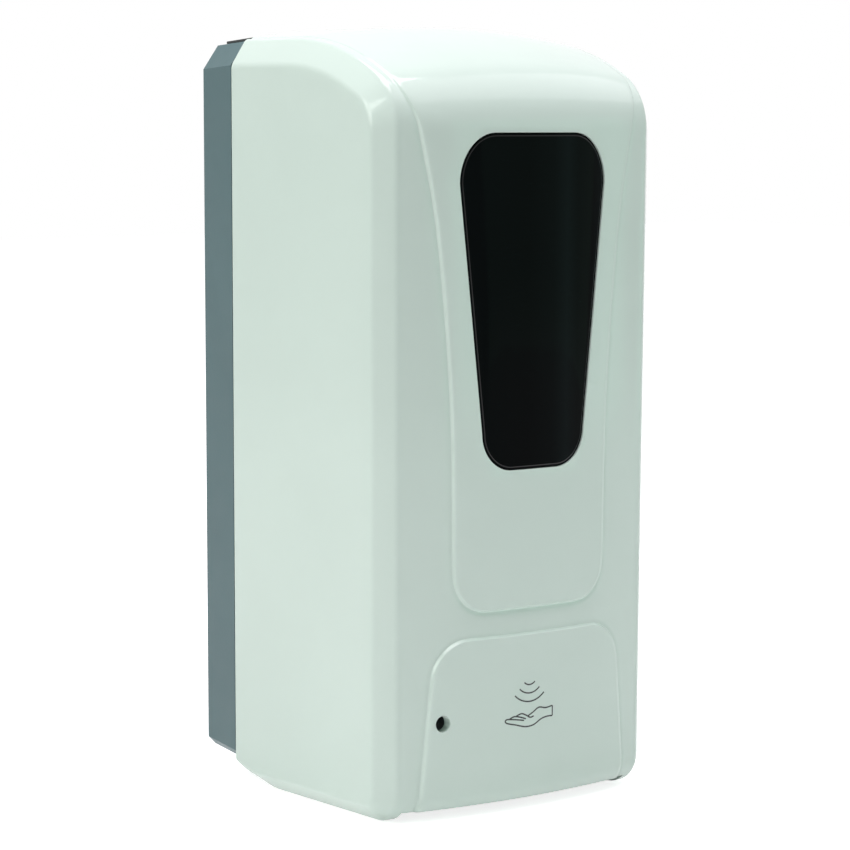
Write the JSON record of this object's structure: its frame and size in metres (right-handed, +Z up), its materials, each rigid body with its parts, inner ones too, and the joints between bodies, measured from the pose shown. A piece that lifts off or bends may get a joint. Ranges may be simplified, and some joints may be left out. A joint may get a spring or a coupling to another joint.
{
  "type": "automatic gel dispenser",
  "caption": "Wall-mounted touch-free gel dispenser: hinged white cover with a dark level window over a lift-out reservoir, battery box and geared hose pump.",
  "frame": {"origin": "centre of the base's flat back face, in the plane of the wall", "axes": "+X to the viewer's right when facing the front, +Y out of the back into the wall, +Z up; the front faces -Y"},
  "size_m": [0.125, 0.1134, 0.2737],
  "materials": {
    "white_gloss": "glossy white moulded plastic",
    "grey_satin": "satin blue-grey moulded plastic",
    "black_gloss": "polished smoked black plastic",
    "black_satin": "satin black plastic",
    "chassis_grey": "satin light grey plastic",
    "case_grey": "satin mid grey plastic",
    "clear_plastic": "clear, slightly blue plastic",
    "silicone": "translucent silicone rubber",
    "steel": "plain bright steel",
    "brass": "turned brass",
    "gear_white": "natural white engineering plastic",
    "board_green": "green lacquered circuit board",
    "cell_jacket": "plain blue jacket on a steel can",
    "lead_red": "red wire insulation",
    "lead_black": "black wire insulation",
    "rubber": "black rubber"
  },
  "bodies": {
    "base": {"back_plate": "grey_satin", "lock_plate": "black_satin", "chassis": "chassis_grey", "chassis_screw_1": "steel", "chassis_screw_2": "steel", "chassis_screw_3": "steel", "chassis_screw_4": "steel", "hinge_pin_left": "steel", "hinge_pin_right": "steel", "battery_box": "case_grey", "battery_cell_1": "cell_jacket", "battery_cell_2": "cell_jacket", "battery_cell_3": "cell_jacket", "battery_cell_4": "cell_jacket", "contact_spring_left": "steel", "contact_spring_right": "steel", "contact_strip_1": "steel", "contact_strip_2": "steel", "outlet_seal": "rubber", "mechanism_case": "case_grey", "case_front": "case_grey", "case_screw_1": "steel", "case_screw_2": "steel", "case_screw_3": "steel", "case_screw_4": "steel", "motor": "steel", "motor_lead_red": "lead_red", "motor_lead_black": "lead_black", "idler_axle": "steel", "pump_body": "chassis_grey", "pump_cover": "clear_plastic", "pump_tube": "silicone", "nozzle": "black_satin", "main_board": "board_green", "infrared_emitter": "black_gloss", "infrared_receiver": "black_gloss", "sensor_window": "black_gloss", "power_switch": "black_satin", "power_jack": "black_satin", "indicator_holder": "black_satin", "indicator_light": "clear_plastic"},
    "cover": {"front_cover": "white_gloss", "window_lens": "black_gloss", "window_frame": "black_satin"},
    "lock": {"lock_cylinder": "steel", "lock_cam": "steel", "cam_screw": "steel"},
    "battery_door": {"battery_door": "case_grey"},
    "bottle": {"bottle": "clear_plastic"},
    "cap_seal": {"cap_seal": "silicone"},
    "filler_cap": {"filler_cap": "chassis_grey"},
    "switch_slider": {"switch_slider": "chassis_grey"},
    "pump_rotor": {"pump_rotor": "chassis_grey", "pump_gear": "gear_white"},
    "idler": {"idler_gear": "gear_white"},
    "motor_pinion": {"motor_pinion": "brass"},
    "roller_1": {"pump_roller_1": "gear_white"},
    "roller_2": {"pump_roller_2": "gear_white"},
    "roller_3": {"pump_roller_3": "gear_white"}
  },
  "joints": [
    {"name": "cover_hinge", "type": "hinge", "parent": "base", "child": "cover", "pos_m": [0, -0.024, -0.1318], "axis": [1, 0, 0], "range_deg": [0, 95]},
    {"name": "lock_turn", "type": "hinge", "parent": "base", "child": "lock", "pos_m": [0, -0.009, 0.1238], "axis": [0, 0, -1], "range_deg": [0, 90]},
    {"name": "battery_door_slide", "type": "slide", "parent": "base", "child": "battery_door", "axis": [0, 0, 1], "range_m": [0, 0.006]},
    {"name": "bottle_lift", "type": "slide", "parent": "base", "child": "bottle", "axis": [0, 0, 1], "range_m": [0, 0.008]},
    {"name": "filler_cap_lift", "type": "slide", "parent": "bottle", "child": "cap_seal", "axis": [0, 0, 1], "range_m": [0, 0.008]},
    {"name": "filler_cap_turn", "type": "hinge", "parent": "cap_seal", "child": "filler_cap", "pos_m": [0, -0.06, 0.088], "axis": [0, 0, 1], "range_deg": [0, 90]},
    {"name": "switch_slide", "type": "slide", "parent": "base", "child": "switch_slider", "axis": [1, 0, 0], "range_m": [0, 0.003]},
    {"name": "pump_rotor_turn", "type": "hinge", "parent": "base", "child": "pump_rotor", "pos_m": [0.018, -0.0841, -0.093], "axis": [0, 1, 0], "continuous": true},
    {"name": "idler_turn", "type": "hinge", "parent": "base", "child": "idler", "pos_m": [-0.00525, -0.0841, -0.093], "axis": [0, 1, 0], "continuous": true},
    {"name": "motor_turn", "type": "hinge", "parent": "base", "child": "motor_pinion", "pos_m": [-0.02475, -0.0841, -0.093], "axis": [0, 1, 0], "continuous": true},
    {"name": "roller_1_spin", "type": "hinge", "parent": "pump_rotor", "child": "roller_1", "pos_m": [0.018, -0.0841, -0.0838], "axis": [0, 1, 0], "continuous": true},
    {"name": "roller_2_spin", "type": "hinge", "parent": "pump_rotor", "child": "roller_2", "pos_m": [0.01003, -0.0841, -0.0976], "axis": [0, 1, 0], "continuous": true},
    {"name": "roller_3_spin", "type": "hinge", "parent": "pump_rotor", "child": "roller_3", "pos_m": [0.02597, -0.0841, -0.0976], "axis": [0, 1, 0], "continuous": true}
  ],
  "couplings": [
    {"joint": "idler_turn", "follows": "pump_rotor_turn", "ratio": -3.4286},
    {"joint": "motor_turn", "follows": "pump_rotor_turn", "ratio": 11.429},
    {"joint": "roller_1_spin", "follows": "pump_rotor_turn", "ratio": -3.1111},
    {"joint": "roller_2_spin", "follows": "pump_rotor_turn", "ratio": -3.1111},
    {"joint": "roller_3_spin", "follows": "pump_rotor_turn", "ratio": -3.1111}
  ]
}
